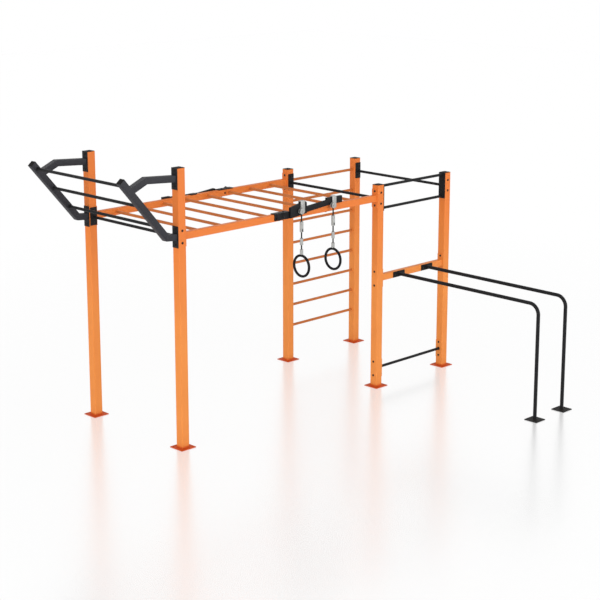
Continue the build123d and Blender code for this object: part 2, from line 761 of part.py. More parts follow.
for side_name, place in hang_places.items():
    hang_x = carrier_front_x + place
    strap_centre = place + strap_offset
    strap_top_level = strap_tops[side_name]
    strap_drop_level = strap_top_level - strap_drop

    with BuildPart() as hanger_strap:
        with BuildSketch(facing((hang_x + strap_offset - strap_width / 2, front_y, 0), along_x)):
            with BuildLine():
                Polyline(
                    (-strap_front, strap_drop_level),
                    (-strap_front, strap_top_level),
                    (-strap_back, strap_top_level),
                    (-strap_back, beam_top + strap_thickness),
                    (-foot_end, beam_top + strap_thickness),
                    (-foot_end, beam_top),
                    (-strap_back - strap_thickness, beam_top),
                    (-strap_back - strap_thickness, strap_top_level - strap_thickness),
                    (-carrier_face, strap_top_level - strap_thickness),
                    (-carrier_face, strap_drop_level),
                    close=True,
                )
            make_face()
        extrude(amount=strap_width)
        with BuildSketch(front_side.offset(strap_front)):
            with Locations((place, boss_level)):
                Circle(boss_radius)
        extrude(amount=boss_depth)
        with BuildSketch(front_side.offset(hang_out - fork_slot_width / 2)):
            with Locations((place, boss_level + fork_half_depth - boss_radius)):
                Rectangle(2 * boss_radius, 2 * boss_radius)
        extrude(amount=fork_slot_width, mode=Mode.SUBTRACT)
        with BuildSketch(front_side.offset(carrier_face)):
            with Locations((place, boss_level)):
                Circle(bore_radius)
        extrude(amount=strap_front - carrier_face + boss_depth, mode=Mode.SUBTRACT)
        with BuildSketch(Plane(origin=front_side.from_local_coords((strap_centre, beam_top, foot_end / 2)))):
            Circle(strap_screw_diameter / 2 + carrier_hole_clearance)
        extrude(amount=strap_thickness, mode=Mode.SUBTRACT)
    write(hanger_strap, f"hanger_strap_{side_name}")

    with BuildPart() as bearing_pin:
        with BuildSketch(front_side.offset(strap_front)):
            with Locations((place, boss_level)):
                Circle(pin_radius)
        extrude(amount=boss_depth)
        with BuildSketch(front_side.offset(strap_front + boss_depth)):
            with Locations((place, boss_level)):
                Circle(pin_head_diameter / 2)
        extrude(amount=pin_head_height)
    write(bearing_pin, f"bearing_pin_{side_name}")

    with BuildPart() as upper_rod:
        with BuildSketch(Plane(origin=(hang_x, hang_y, upper_sleeve_top))):
            Circle(rod_radius)
        extrude(amount=boss_level - upper_sleeve_top)
        with BuildSketch(front_side.offset(hang_out - eye_thickness / 2)):
            with Locations((place, boss_level)):
                Circle(eye_radius)
        extrude(amount=eye_thickness)
        with BuildSketch(front_side.offset(hang_out - eye_thickness)):
            with Locations((place, boss_level)):
                Circle(bore_radius)
        extrude(amount=2 * eye_thickness, mode=Mode.SUBTRACT)
    write(upper_rod, f"upper_rod_{side_name}")

    with BuildPart() as fork_sleeve:
        with BuildSketch(Plane(origin=(hang_x, hang_y, upper_sleeve_bottom))):
            Circle(upper_sleeve_diameter / 2)
        extrude(amount=upper_sleeve_top - upper_sleeve_bottom)
        chamfer(fork_sleeve.edges().filter_by(GeomType.CIRCLE), sleeve_chamfer)
        with BuildSketch(facing((hang_x, hang_y, fork_pin_level + fork_half_depth - boss_radius), along_y)):
            Rectangle(fork_slot_width, 2 * boss_radius)
        extrude(amount=upper_sleeve_diameter, both=True, mode=Mode.SUBTRACT)
        with BuildSketch(facing((hang_x, hang_y, fork_pin_level), along_x)):
            Circle(bore_radius)
        extrude(amount=upper_sleeve_diameter, both=True, mode=Mode.SUBTRACT)
    write(fork_sleeve, f"fork_sleeve_{side_name}")

    with BuildPart() as fork_pin:
        with BuildSketch(facing((hang_x, hang_y, fork_pin_level), along_x)):
            Circle(pin_radius)
        extrude(amount=upper_sleeve_diameter / 2 - fork_pin_inset, both=True)
    write(fork_pin, f"fork_pin_{side_name}")

    with BuildPart() as middle_rod:
        with BuildSketch(Plane(origin=(hang_x, hang_y, lower_sleeve_top))):
            Circle(rod_radius)
        extrude(amount=fork_pin_level - lower_sleeve_top)
        with BuildSketch(facing((hang_x, hang_y, fork_pin_level), along_x)):
            Circle(eye_radius)
        extrude(amount=eye_thickness / 2, both=True)
        with BuildSketch(facing((hang_x, hang_y, fork_pin_level), along_x)):
            Circle(bore_radius)
        extrude(amount=eye_thickness, both=True, mode=Mode.SUBTRACT)
    write(middle_rod, f"middle_rod_{side_name}")

    with BuildPart() as swivel_sleeve:
        with BuildSketch(Plane(origin=(hang_x, hang_y, lower_sleeve_bottom))):
            Circle(lower_sleeve_diameter / 2)
        extrude(amount=lower_sleeve_top - lower_sleeve_bottom)
        chamfer(swivel_sleeve.edges().filter_by(GeomType.CIRCLE), sleeve_chamfer)
        with BuildSketch(Plane(origin=(hang_x, hang_y, lower_sleeve_bottom + swivel_floor_thickness))):
            Circle(swivel_head_diameter / 2 + swivel_clearance)
        extrude(amount=swivel_room_height, mode=Mode.SUBTRACT)
        with BuildSketch(Plane(origin=(hang_x, hang_y, lower_sleeve_bottom))):
            Circle(rod_radius + swivel_clearance)
        extrude(amount=swivel_floor_thickness, mode=Mode.SUBTRACT)
    write(swivel_sleeve, f"swivel_sleeve_{side_name}")

    swivel_seat = lower_sleeve_bottom + swivel_floor_thickness + swivel_clearance
    with BuildPart() as lower_rod:
        with BuildSketch(Plane(origin=(hang_x, hang_y, ring_clamp_top))):
            Circle(rod_radius)
        extrude(amount=swivel_seat - ring_clamp_top)
        with BuildSketch(Plane(origin=(hang_x, hang_y, swivel_seat))):
            Circle(swivel_head_diameter / 2)
        extrude(amount=swivel_head_height)
    write(lower_rod, f"lower_rod_{side_name}")

    ring_plane = Plane(origin=(hang_x, hang_y, ring_level), x_dir=(0, 1, 0), z_dir=(1, 0, 0))
    with BuildPart() as ring_clamp:
        with BuildSketch(Plane(origin=(hang_x, hang_y, ring_clamp_bottom))):
            Circle(ring_clamp_diameter / 2)
        extrude(amount=ring_clamp_top - ring_clamp_bottom)
        chamfer(ring_clamp.edges().filter_by(GeomType.CIRCLE), sleeve_chamfer)
        with Locations(ring_plane):
            Torus(ring_radius, ring_bar_diameter / 2 + ring_clamp_clearance, mode=Mode.SUBTRACT)
    write(ring_clamp, f"ring_clamp_{side_name}")

    with BuildPart(ring_plane) as ring:
        Torus(ring_radius, ring_bar_diameter / 2)
    write(ring, f"ring_{side_name}")

# Screws of the hanger feet, into the top wall of the front beam
foot_top = beam_top + strap_thickness
with BuildPart() as strap_screws:
    for place in hang_places.values():
        screw = Plane(origin=front_side.from_local_coords((place + strap_offset, foot_top, foot_end / 2)))
        with BuildSketch(screw):
            Circle(strap_screw_head_diameter / 2)
        extrude(amount=strap_screw_head_height)
        with BuildSketch(screw):
            Circle(strap_screw_diameter / 2)
        extrude(amount=-strap_thickness)
write(strap_screws, "strap_screws")

# Through bolts of every end plate: post name, direction, level, plates before and after the post
lengthwise_stacks = {
    ("post_left_front", upper_level): (1, 1),
    ("post_left_back", upper_level): (1, 1),
    ("post_left_front", arm_top_level): (1, 0),
    ("post_left_back", arm_top_level): (1, 0),
    ("post_middle_front", upper_level): (1, 1),
    ("post_middle_front", cross_level): (0, 1),
    ("post_middle_front", low_level): (0, 1),
    ("post_middle_back", upper_level): (1, 0),
    ("post_right_front", upper_level): (1, 0),
    ("post_right_front", cross_level): (1, 0),
    ("post_right_front", low_level): (1, 0),
}
bolt_rows = []
for (name, level), (before, after) in lengthwise_stacks.items():
    x, y, _ = post_places[name]
    bolt_rows.append((Vector(x, y, level), along_x, beam_bolt_spacing, before, after))
for x, y, _ in post_places.values():
    before, after = (0, 1) if y == front_y else (1, 0)
    bolt_rows.append((Vector(x, y, upper_level), along_y, bar_bolt_spacing, before, after))

with BuildPart() as through_bolts:
    for centre, along, spacing, before, after in bolt_rows:
        head_seat = centre - along * (post_half + before * plate_thickness)
        grip = post_side + (before + after) * plate_thickness
        with BuildSketch(facing(head_seat, -along)):
            with GridLocations(bolt_hole_diameter, spacing, 1, 2):
                Circle(head_diameter / 2)
        extrude(amount=head_height, taper=head_taper_angle)
        with BuildSketch(facing(head_seat, along)):
            with GridLocations(bolt_hole_diameter, spacing, 1, 2):
                Circle(bolt_diameter / 2)
        extrude(amount=grip + nut_height + thread_overhang_length)
write(through_bolts, "through_bolts")

with BuildPart() as through_nuts:
    for centre, along, spacing, before, after in bolt_rows:
        nut_seat = centre + along * (post_half + after * plate_thickness)
        with BuildSketch(facing(nut_seat, along)):
            with GridLocations(bolt_hole_diameter, spacing, 1, 2):
                RegularPolygon(nut_width / 2, 6)
                Circle(bolt_diameter / 2 + nut_clearance, mode=Mode.SUBTRACT)
        extrude(amount=nut_height)
write(through_nuts, "through_nuts")
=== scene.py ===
from math import cos, pi, radians, sin

import bmesh
import bpy
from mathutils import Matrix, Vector


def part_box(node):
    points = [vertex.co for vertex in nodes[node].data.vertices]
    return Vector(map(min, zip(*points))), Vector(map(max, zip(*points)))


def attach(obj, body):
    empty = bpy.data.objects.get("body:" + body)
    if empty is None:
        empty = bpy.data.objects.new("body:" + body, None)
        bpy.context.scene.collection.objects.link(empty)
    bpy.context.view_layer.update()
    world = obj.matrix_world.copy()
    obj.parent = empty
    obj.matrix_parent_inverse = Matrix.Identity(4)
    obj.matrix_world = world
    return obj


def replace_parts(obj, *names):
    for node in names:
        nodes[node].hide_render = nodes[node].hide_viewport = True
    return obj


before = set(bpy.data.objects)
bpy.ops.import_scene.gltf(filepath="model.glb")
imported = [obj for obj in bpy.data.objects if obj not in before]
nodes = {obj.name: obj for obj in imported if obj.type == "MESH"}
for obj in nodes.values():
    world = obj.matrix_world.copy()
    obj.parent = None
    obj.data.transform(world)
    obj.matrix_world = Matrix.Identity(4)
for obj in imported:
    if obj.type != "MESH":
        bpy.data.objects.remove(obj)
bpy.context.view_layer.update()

scene = bpy.context.scene

# ---- Studio: floor, daylight and camera ----
# A plain white floor with a slight polish, so that each foot has a soft reflection under it, in even
# daylight and three broad lamps. It is seen from the front left, from above the posts.
scene.view_settings.view_transform = "Standard"


class Shade:
    """A value inside a material, which can be added, multiplied and divided like a number."""

    def __init__(self, tree, socket=None):
        self.tree = tree
        self.socket = socket

    def node(self, kind, settings=None, inputs=None, output=0):
        made = self.tree.nodes.new("ShaderNode" + kind)
        for name, value in (settings or {}).items():
            if name == "stops":
                ramp = made.color_ramp.elements
                while len(ramp) < len(value):
                    ramp.new(0.5)
                for stop, (place, grey) in zip(ramp, value):
                    stop.position = place
                    stop.color = (grey, grey, grey, 1)
            else:
                setattr(made, name, value)
        for name, value in (inputs or {}).items():
            if isinstance(value, Shade):
                self.tree.links.new(value.socket, made.inputs[name])
            else:
                made.inputs[name].default_value = value
        return Shade(self.tree, made.outputs[output] if made.outputs else None)

    def maths(self, operation, first, second):
        return self.node("Math", {"operation": operation}, {0: first, 1: second})

    def __add__(self, other):
        return self.maths("ADD", self, other)

    def __radd__(self, other):
        return self.maths("ADD", other, self)

    def __mul__(self, other):
        return self.maths("MULTIPLY", self, other)

    def __rmul__(self, other):
        return self.maths("MULTIPLY", other, self)

    def __truediv__(self, other):
        return self.maths("DIVIDE", self, other)

    def __rtruediv__(self, other):
        return self.maths("DIVIDE", other, self)


def new_finish(name):
    finish = bpy.data.materials.new(name)
    finish.use_nodes = True
    finish.node_tree.nodes.clear()
    return finish, Shade(finish.node_tree)


white = (1, 1, 1, 1)
floor_grey = (0.93, 0.93, 0.93, 1)
floor_roughness = 0.6
polish_roughness = 0.24
polish_share = 0.36
white_stops = ((0.3, 0.9), (1, 1))
shaded_reach = 11
floor_half = 40

floor_finish, floor = new_finish("white_floor")
floor_inputs = {"Base Color": floor_grey, "Roughness": floor_roughness}
floor_coat = floor.node("BsdfPrincipled", None, floor_inputs)
floor_white = floor.node("Emission", None, {"Color": white, "Strength": 1})
floor_polish = floor.node("BsdfAnisotropic", None, {"Color": white, "Roughness": polish_roughness})
floor_place = floor.node("TexCoord", None, None, "Object")
away = floor.node("VectorMath", {"operation": "LENGTH"}, {0: floor_place}, "Value") / shaded_reach
white_share = floor.node("ValToRGB", {"stops": white_stops}, {0: away})
seen = floor.node("LightPath", None, None, "Is Camera Ray")
floor_matt = floor.node("MixShader", None, {0: seen * white_share, 1: floor_coat, 2: floor_white})
floor_surface = floor.node("MixShader", None, {0: polish_share, 1: floor_matt, 2: floor_polish})
floor.node("OutputMaterial", None, {"Surface": floor_surface})

floor_mesh = bpy.data.meshes.new("floor")
floor_corners = [(x * floor_half, y * floor_half, 0) for x, y in ((-1, -1), (1, -1), (1, 1), (-1, 1))]
floor_mesh.from_pydata(floor_corners, [], [(0, 1, 2, 3)])
floor_mesh.materials.append(floor_finish)
floor_plane = bpy.data.objects.new("floor", floor_mesh)
scene.collection.objects.link(floor_plane)

daylight_strength = 0.5

daylight = bpy.data.worlds.new("daylight")
daylight.use_nodes = True
daylight.node_tree.nodes.clear()
sky = Shade(daylight.node_tree)
ray_kinds = ("Camera", "Glossy", "Transmission")
direct = [sky.node("LightPath", None, None, f"Is {kind} Ray") for kind in ray_kinds]
direct = sky.maths("MINIMUM", direct[0] + direct[1] + direct[2], 1)
strength = daylight_strength + (1 - daylight_strength) * direct
sky_light = sky.node("Background", None, {"Color": white, "Strength": strength})
sky.node("OutputWorld", None, {"Surface": sky_light})
scene.world = daylight

lamp_aim = Vector((0, 0, 1))
# The place, width, height and power of each lamp.
lamps = {
    "front_lamp": ((3, -13, 4), 14, 5, 800),
    "left_lamp": ((-22, -3, 5), 18, 7, 2000),
    "top_lamp": ((0, 1, 11), 8, 8, 120),
}
for name, (place, width, height, power) in lamps.items():
    lamp = bpy.data.objects.new(name, bpy.data.lights.new(name, "AREA"))
    lamp.data.shape = "RECTANGLE"
    lamp.data.size = width
    lamp.data.size_y = height
    lamp.data.energy = power
    lamp.visible_camera = False
    lamp.location = place
    lamp.rotation_mode = "QUATERNION"
    lamp.rotation_quaternion = (lamp_aim - Vector(place)).to_track_quat("-Z", "Y")
    scene.collection.objects.link(lamp)

view_place = (-11.79, -11.634, 5.708)
view_turn = radians(-44.6)
view_rise = radians(12.41)
view_shift = -0.1
view_end = 200
film_width = 36
lens_length = 90.6

camera = bpy.data.objects.new("camera", bpy.data.cameras.new("camera"))
camera.data.sensor_width = film_width
camera.data.lens = lens_length
camera.data.shift_y = view_shift
camera.data.clip_end = view_end
camera.location = view_place
level = cos(view_rise)
backwards = Vector((sin(view_turn) * level, -cos(view_turn) * level, sin(view_rise)))
camera.rotation_mode = "QUATERNION"
camera.rotation_quaternion = (-backwards).to_track_quat("-Z", "Y")
scene.collection.objects.link(camera)
scene.camera = camera

# ---- Posts ----
# Six square steel tubes, each with a welded base plate, powder coated orange in one piece. The coat has a
# fine orange peel, painted shade that darkens it high up, and a darker band of painted shade at the ground.
orange = (0.83, 0.272, 0.050, 1)
orange_shaded = (0.78, 0.240, 0.041, 1)
# Painted shade: high on the posts the coat is darkened towards this colour.
orange_painted_shade = (0.77, 0.190, 0.026, 1)
# Painted shade: a darker, redder band on the posts and base plates at the ground.
orange_ground_shade = (0.60, 0.080, 0.004, 1)
orange_gleam = 0.3
dust_grey = (0.55, 0.50, 0.46, 1)
post_side = 0.1
post_corner = 0.008
base_thickness = 0.008
coat_roughness = 0.42
peel_per_metre = 700
peel_depth = 0.0004
peel_strength = 0.25
patches_per_metre = 2.5
patch_gloss = 0.10
specks_per_metre = 170
speck_gloss = 0.22
soil_and_shade_height = 0.035
soil_and_shade_gloss = 0.15
high_shade_height = 2.3
smooth_angle = radians(38)
weld_leg = 0.005
weld_sink = 0.0005
weld_hollow = 0.2
weld_step = 0.00125
ripple_length = 0.005
ripple_share = 0.1

up = Vector((0, 0, 1))
along_x = Vector((1, 0, 0))
along_y = Vector((0, 1, 0))
quarters = ((1, 1), (-1, 1), (-1, -1), (1, -1))


def blended(shade, mask, first, second):
    return shade.node("Mix", {"data_type": "RGBA"}, {0: mask, 6: first, 7: second}, 2)


def noise(shade, where, per_metre, detail=2, roughness=0.5):
    inputs = {"Vector": where, "Scale": per_metre, "Detail": detail, "Roughness": roughness}
    return shade.node("TexNoise", None, inputs)


def ramp(shade, value, *stops):
    return shade.node("ValToRGB", {"stops": stops}, {0: value})


def powder_coat(name, colour, shaded, soil_and_shade_colour, gleam, dust, high_shade_colour=None, plates=None):
    """A baked powder coat: orange peel, cloudy gloss, dust specks, and a band at the ground, which is
    painted shade on the orange coat and soil on the black one.

    Its colour high up is painted shade, and plates are a place along X and the colour of what lies beyond
    it.
    """
    finish, coat = new_finish(name)
    where = coat.node("TexCoord", None, None, "Object")
    height = coat.node("SeparateXYZ", None, {0: where}, "Z")
    patches = noise(coat, where, patches_per_metre, detail=4)
    specks = noise(coat, where, specks_per_metre, detail=6, roughness=0.7)
    specks = ramp(coat, specks, (0.60, 0), (0.74, 1))
    # A band at the ground: painted shade on the orange coat, soil on the black one.
    soil_and_shade = ramp(coat, height / soil_and_shade_height, (0.3, 1), (1, 0))
    colour = blended(coat, ramp(coat, patches, (0.3, 0), (0.7, 1)), shaded, colour)
    # Painted shade: the coat darkens towards its colour high up.
    if high_shade_colour:
        high_shade = ramp(coat, height / high_shade_height, (0.5, 0), (1, 1))
        colour = blended(coat, high_shade, colour, high_shade_colour)
    colour = blended(coat, soil_and_shade, colour, soil_and_shade_colour)
    colour = blended(coat, specks * dust, colour, dust_grey)
    if plates:
        place = coat.node("SeparateXYZ", None, {0: where}, "X")
        beyond = coat.maths("GREATER_THAN", place, plates[0])
        colour = blended(coat, beyond, colour, plates[1])
    peel = noise(coat, where, peel_per_metre)
    bump = coat.node("Bump", None, {"Strength": peel_strength, "Distance": peel_depth, "Height": peel})
    gloss = coat_roughness + patch_gloss * patches + speck_gloss * specks + soil_and_shade_gloss * soil_and_shade
    inputs = {"Base Color": colour, "Roughness": gloss, "Normal": bump, "Specular IOR Level": gleam}
    coat.node("OutputMaterial", None, {"Surface": coat.node("BsdfPrincipled", None, inputs)})
    return finish


def coat_nodes(finish, *names):
    """Gives a finish to solids of the frame that keep their shape."""
    for name in names:
        for slot in nodes[name].material_slots:
            slot.material = finish


def finished(name, shape, finish):
    """Makes a piece that rides on the station from a mesh, with its finish."""
    bmesh.ops.recalc_face_normals(shape, faces=shape.faces)
    mesh = bpy.data.meshes.new(name)
    shape.to_mesh(mesh)
    shape.free()
    mesh.shade_smooth()
    mesh.set_sharp_from_angle(angle=smooth_angle)
    mesh.materials.append(finish)
    piece = bpy.data.objects.new(name, mesh)
    scene.collection.objects.link(piece)
    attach(piece, "station")
    return piece


def close_rings(shape, rings, looped):
    """Joins rings of points, one after another, with four-sided faces."""
    pairs = list(zip(rings, rings[1:]))
    if looped:
        pairs.append((rings[-1], rings[0]))
    for first, second in pairs:
        for k in range(len(first)):
            shape.faces.new((first[k - 1], first[k], second[k], second[k - 1]))


def square_outline(width, height, corner):
    """Points round a square tube with rounded corners, each with its outward direction."""
    reach_x = width / 2 - corner
    reach_y = height / 2 - corner
    middles = [Vector((sx * reach_x, sy * reach_y)) for sx, sy in quarters]
    bends = max(2, round(corner * pi / 2 / weld_step))
    outline = []
    for quarter, middle in enumerate(middles):
        for bend in range(bends):
            turn = (quarter + bend / bends) * pi / 2
            out = Vector((cos(turn), sin(turn)))
            outline.append((middle + out * corner, out))
        turn = (quarter + 1) * pi / 2
        out = Vector((cos(turn), sin(turn)))
        run = middles[(quarter + 1) % 4] - middle
        count = round(run.length / weld_step)
        outline += [(middle + out * corner + run * k / count, out) for k in range(count)]
    return outline


def across(along):
    """Two directions that are square to a third one and to each other."""
    side = along_x if abs(along.z) > 0.5 else along.cross(up)
    return side, side.cross(along)


def weld_bead(shape, foot, along, outline):
    """Adds a rippled fillet weld round the end of a tube that stands on a flat face at foot."""
    side, rise = across(along)
    rings = []
    run = 0
    last = outline[-1][0]
    for place, out in outline:
        run += (place - last).length
        last = place
        leg = weld_leg * (1 - ripple_share + ripple_share * sin(2 * pi * run / ripple_length))
        root = foot + side * place.x + rise * place.y
        outward = side * out.x + rise * out.y
        ring = [shape.verts.new(root - outward * weld_sink)]
        for turn in (0, pi / 6, pi / 3, pi / 2):
            reach = leg * (1 - weld_hollow * sin(2 * turn))
            ring.append(shape.verts.new(root + outward * reach * cos(turn) + along * reach * sin(turn)))
        rings.append(ring)
    close_rings(shape, rings, True)


orange_coat = powder_coat("orange_powder_coat", orange, orange_shaded, orange_ground_shade, orange_gleam,
                          dust=0.16, high_shade_colour=orange_painted_shade)
post_names = []
for place in ("left", "middle", "right"):
    post_names += [f"post_{place}_front", f"post_{place}_back"]
coat_nodes(orange_coat, *post_names)

post_outline = square_outline(post_side, post_side, post_corner)
post_welds = bmesh.new()
post_feet = {}
for name in post_names:
    low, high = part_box(name)
    post_feet[name] = Vector(((low.x + high.x) / 2, (low.y + high.y) / 2, 0))
    weld_bead(post_welds, post_feet[name] + up * base_thickness, up, post_outline)
finished("post_base_welds", post_welds, orange_coat)

# ---- Post caps ----
# Moulded black covers with a rounded lip and a slightly domed top. They are pushed into the open ends
# of the posts and sit flush with the tubes.
cap_height = 0.007
# The side, height and corner radius of each ring of a cap, from the tube's end to the top.
cap_layers = ((post_side, 0, post_corner), (post_side, 0.0026, post_corner), (0.0988, 0.0036, 0.0076),
              (0.094, 0.0046, 0.007), (0.074, 0.0060, 0.006), (0.044, 0.0067, 0.005),
              (0.012, cap_height, 0.003))
cap_corner_points = 6
cap_black = (0.006, 0.005, 0.005, 1)
dulled_grey = (0.03, 0.029, 0.028, 1)
dulled_per_metre = 14
dulled_share = 0.25
dulled_gloss = 0.1
grain_gloss = 0.12
grain_strength = 0.5
plastic_gleam = 0.1


def moulded_plastic(name, colour, roughness, grain_per_metre, grain_depth):
    """Black moulded plastic with a fine spark-eroded grain, greyer where weather has dulled it."""
    finish, plastic = new_finish(name)
    where = plastic.node("TexCoord", None, None, "Object")
    grain = noise(plastic, where, grain_per_metre, detail=3, roughness=0.6)
    dulled = noise(plastic, where, dulled_per_metre, detail=5, roughness=0.6)
    dulled = ramp(plastic, dulled, (0.42, 0), (0.68, 1))
    colour = blended(plastic, dulled * dulled_share, colour, dulled_grey)
    bump_inputs = {"Strength": grain_strength, "Distance": grain_depth, "Height": grain}
    bump = plastic.node("Bump", None, bump_inputs)
    gloss = roughness + grain_gloss * grain + dulled_gloss * dulled
    inputs = {"Base Color": colour, "Roughness": gloss, "Normal": bump,
              "Specular IOR Level": plastic_gleam}
    plastic.node("OutputMaterial", None, {"Surface": plastic.node("BsdfPrincipled", None, inputs)})
    return finish


def rounded_square(shape, middle, side, corner):
    """A ring of points round a square with rounded corners."""
    ring = []
    for quarter, (sx, sy) in enumerate(quarters):
        for bend in range(cap_corner_points):
            turn = (quarter + bend / (cap_corner_points - 1)) * pi / 2
            x = sx * (side / 2 - corner) + corner * cos(turn)
            y = sy * (side / 2 - corner) + corner * sin(turn)
            ring.append(shape.verts.new(middle + Vector((x, y, 0))))
    return ring


cap_plastic = moulded_plastic("cap_plastic", cap_black, roughness=0.58, grain_per_metre=900,
                              grain_depth=0.0002)
caps = bmesh.new()
for name in post_names:
    cap_foot = post_feet[name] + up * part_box(name)[1].z
    rings = []
    for side, height, corner in cap_layers:
        rings.append(rounded_square(caps, cap_foot + up * height, side, corner))
    close_rings(caps, rings, False)
    caps.faces.new(rings[0])
    caps.faces.new(rings[-1])
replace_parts(finished("domed_post_caps", caps, cap_plastic), "post_caps")

# ---- Overhead ladder ----
# Two rectangular side beams with bolted end plates and eight round rungs welded between them. The rungs
# have a darker orange than the beams, as have the wall bars: painted shade for the thin round tubes.
# Painted shade: the rungs and wall bars get a darker copy of the orange, for the shade on thin round tubes.
shade_darkened_bar_orange = (0.58, 0.165, 0.030, 1)
bar_orange_shaded = (0.50, 0.135, 0.024, 1)
beam_height = 0.08
beam_depth = 0.06
beam_corner = 0.006
plate_thickness = 0.008
bar_diameter = 0.0337
rung_count = 8

# A darker copy of the orange coat, as painted shade.
shade_darkened_bar_coat = powder_coat("shade_darkened_orange_powder_coat", shade_darkened_bar_orange, bar_orange_shaded, bar_orange_shaded,
                       orange_gleam, dust=0.12)
coat_nodes(orange_coat, "ladder_beam_front", "ladder_beam_back")
coat_nodes(shade_darkened_bar_coat, "ladder_rungs")

front_y = post_feet["post_left_front"].y
back_y = post_feet["post_left_back"].y
left_x = post_feet["post_left_front"].x
middle_x = post_feet["post_middle_front"].x
right_x = post_feet["post_right_front"].x
plate_face = post_side / 2 + plate_thickness


def middle_height(node):
    low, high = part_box(node)
    return (low.z + high.z) / 2


def round_outline(diameter):
    """Points round a round tube, each with its outward direction."""
    count = round(pi * diameter / weld_step)
    outward = [Vector((cos(2 * pi * k / count), sin(2 * pi * k / count))) for k in range(count)]
    return [(out * diameter / 2, out) for out in outward]


ladder_level = middle_height("ladder_beam_front")
beam_outline = square_outline(beam_depth, beam_height, beam_corner)
bar_outline = round_outline(bar_diameter)
ladder_welds = bmesh.new()
for y in (front_y, back_y):
    weld_bead(ladder_welds, Vector((left_x + plate_face, y, ladder_level)), along_x, beam_outline)
    weld_bead(ladder_welds, Vector((middle_x - plate_face, y, ladder_level)), -along_x, beam_outline)
for rung in range(1, rung_count + 1):
    x = left_x + (middle_x - left_x) * rung / (rung_count + 1)
    weld_bead(ladder_welds, Vector((x, front_y + beam_depth / 2, ladder_level)), along_y, bar_outline)
    weld_bead(ladder_welds, Vector((x, back_y - beam_depth / 2, ladder_level)), -along_y, bar_outline)
finished("ladder_welds", ladder_welds, orange_coat)

# ---- Wall bars ----
# Eight round tubes welded one above the other between the two short back posts, in the orange of the
# rungs, which is darkened with painted shade. They are as thick as the rungs.
wall_bar_count = 8

coat_nodes(shade_darkened_bar_coat, "wall_bars")
wall_low, wall_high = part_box("wall_bars")
wall_bottom = wall_low.z + bar_diameter / 2
wall_pitch = (wall_high.z - wall_low.z - bar_diameter) / (wall_bar_count - 1)
wall_welds = bmesh.new()
for bar in range(wall_bar_count):
    z = wall_bottom + wall_pitch * bar
    weld_bead(wall_welds, Vector((middle_x + post_side / 2, back_y, z)), along_x, bar_outline)
    weld_bead(wall_welds, Vector((right_x - post_side / 2, back_y, z)), -along_x, bar_outline)
finished("wall_bar_welds", wall_welds, orange_coat)

# ---- Pull-up bars and low foot bar ----
# Round tubes with a bolted plate on each end, coated satin black: one over each pair of posts from front
# to back, a double one across the bay, and one near the ground, whose plates are orange.
coat_black = (0.011, 0.011, 0.012, 1)
coat_black_shaded = (0.008, 0.008, 0.009, 1)
coat_black_soiled = (0.014, 0.013, 0.012, 1)
pull_up_drop = 0.008
double_bar_pitch = 0.27

black_coat = powder_coat("black_powder_coat", coat_black, coat_black_shaded, coat_black_soiled,
                         gleam=0.12, dust=0.04)
cross_bars = ("pull_up_bar_left", "pull_up_bar_middle", "pull_up_bar_right")
coat_nodes(black_coat, *cross_bars, "double_pull_up_bar", "low_foot_bar")
coat_nodes(orange_coat, "foot_bar_plates")

pull_up_level = ladder_level - pull_up_drop
pull_up_welds = bmesh.new()
for x in (left_x, middle_x, right_x):
    weld_bead(pull_up_welds, Vector((x, front_y + plate_face, pull_up_level)), along_y, bar_outline)
    weld_bead(pull_up_welds, Vector((x, back_y - plate_face, pull_up_level)), -along_y, bar_outline)
double_level = middle_height("double_pull_up_bar")
foot_level = middle_height("low_foot_bar")
for z in (double_level - double_bar_pitch / 2, double_level + double_bar_pitch / 2, foot_level):
    weld_bead(pull_up_welds, Vector((middle_x + plate_face, front_y, z)), along_x, bar_outline)
    weld_bead(pull_up_welds, Vector((right_x - plate_face, front_y, z)), -along_x, bar_outline)
finished("pull_up_bar_welds", pull_up_welds, black_coat)

# ---- Crossbeam and dip bars ----
# An orange beam across the bay carries two bolted black plates, and from each a bent black tube runs out
# level and down to its own foot plate.
dip_diameter = 0.0424
plate_edge_radius = 0.0015
join_distance = 0.00001
flat_angle = radians(1)
edge_angle = radians(35)
edge_segments = 3


def joined_mesh(node):
    """The mesh of a solid of the frame, with its corners joined and its flat faces in one piece."""
    shape = bmesh.new()
    shape.from_mesh(nodes[node].data)
    bmesh.ops.remove_doubles(shape, verts=shape.verts, dist=join_distance)
    bmesh.ops.dissolve_limit(shape, angle_limit=flat_angle, verts=shape.verts, edges=shape.edges)
    return shape


def eased(node, radius, finish):
    """Puts a copy with rounded outer edges in the place of a solid of the frame."""
    shape = joined_mesh(node)
    outer = [edge for edge in shape.edges if edge.is_manifold and edge.is_convex]
    sharp = [edge for edge in outer if edge.calc_face_angle() > edge_angle]
    bmesh.ops.bevel(shape, geom=sharp, offset=radius, segments=edge_segments, profile=0.5, affect="EDGES",
                    clamp_overlap=True)
    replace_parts(finished("eased_" + node, shape, finish), node)


coat_nodes(orange_coat, "dip_crossbeam")
coat_nodes(black_coat, "dip_bar_left", "dip_bar_right")
cross_level = middle_height("dip_crossbeam")
crossbeam_welds = bmesh.new()
weld_bead(crossbeam_welds, Vector((middle_x + plate_face, front_y, cross_level)), along_x, beam_outline)
weld_bead(crossbeam_welds, Vector((right_x - plate_face, front_y, cross_level)), -along_x, beam_outline)
finished("crossbeam_welds", crossbeam_welds, orange_coat)

